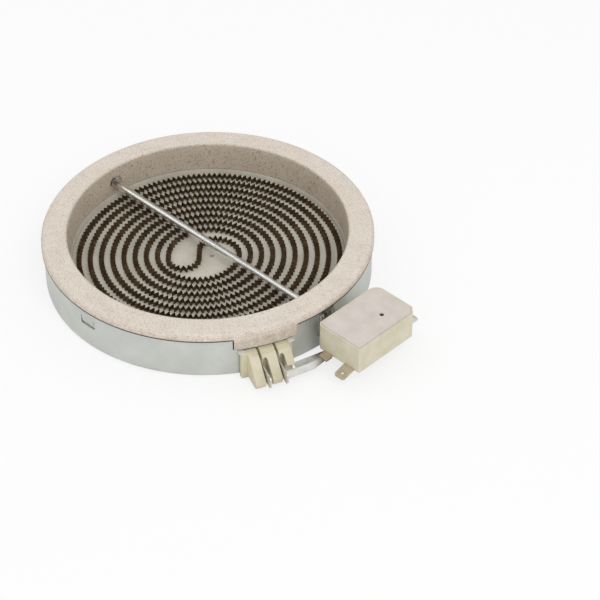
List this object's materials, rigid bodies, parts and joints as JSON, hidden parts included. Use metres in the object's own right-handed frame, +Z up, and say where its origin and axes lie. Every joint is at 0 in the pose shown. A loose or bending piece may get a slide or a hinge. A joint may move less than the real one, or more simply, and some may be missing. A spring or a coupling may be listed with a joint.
{
  "type": "radiant surface element",
  "caption": "Round radiant heating element for a glass ceramic hob: steel pan, insulating ring, spiral corrugated ribbon, terminal block and rod-type temperature limiter.",
  "frame": {"origin": "centre of the pan's underside", "axes": "+Z up towards the glass, +X along the limiter's rod towards its switch box"},
  "size_m": [0.1988, 0.1668, 0.0264],
  "materials": {
    "pan_steel": "matt aluminised sheet steel",
    "bed": "pressed microporous mineral, matt",
    "ring": "pressed vermiculite, matt and speckled",
    "ribbon": "oxidised dark brown",
    "block_ceramic": "unglazed steatite, cream",
    "box_ceramic": "unglazed steatite, cream",
    "cover_ceramic": "unglazed, pale grey",
    "blade": "plated steel",
    "link": "bright plated strip",
    "quartz": "clear quartz",
    "rod": "bright steel",
    "screw_brown": "sealed with brown resin",
    "spring_bronze": "spring bronze",
    "contact": "silver contact",
    "bracket_steel": "plated steel"
  },
  "bodies": {
    "root": {"pan": "pan_steel", "base_insulation": "bed", "insulation_ring": "ring", "heating_ribbon": "ribbon", "lead_left": "ribbon", "lead_right": "ribbon", "terminal_block": "block_ceramic", "terminal_blade_left": "blade", "terminal_blade_right": "blade", "link_strip": "link", "limiter_tube": "quartz", "limiter_rod": "rod", "rod_end_cap": "rod", "rod_collar": "rod", "return_spring": "rod", "limiter_body": "box_ceramic", "limiter_cover": "cover_ceramic", "adjusting_screw": "screw_brown", "limiter_blade_near": "blade", "limiter_blade_far": "blade", "limiter_link_terminal": "blade", "power_contact_spring": "spring_bronze", "signal_contact_spring": "spring_bronze", "contact_rivets": "contact", "rocker": "block_ceramic", "limiter_bracket": "bracket_steel", "bracket_screw": "bracket_steel"}
  },
  "joints": []
}
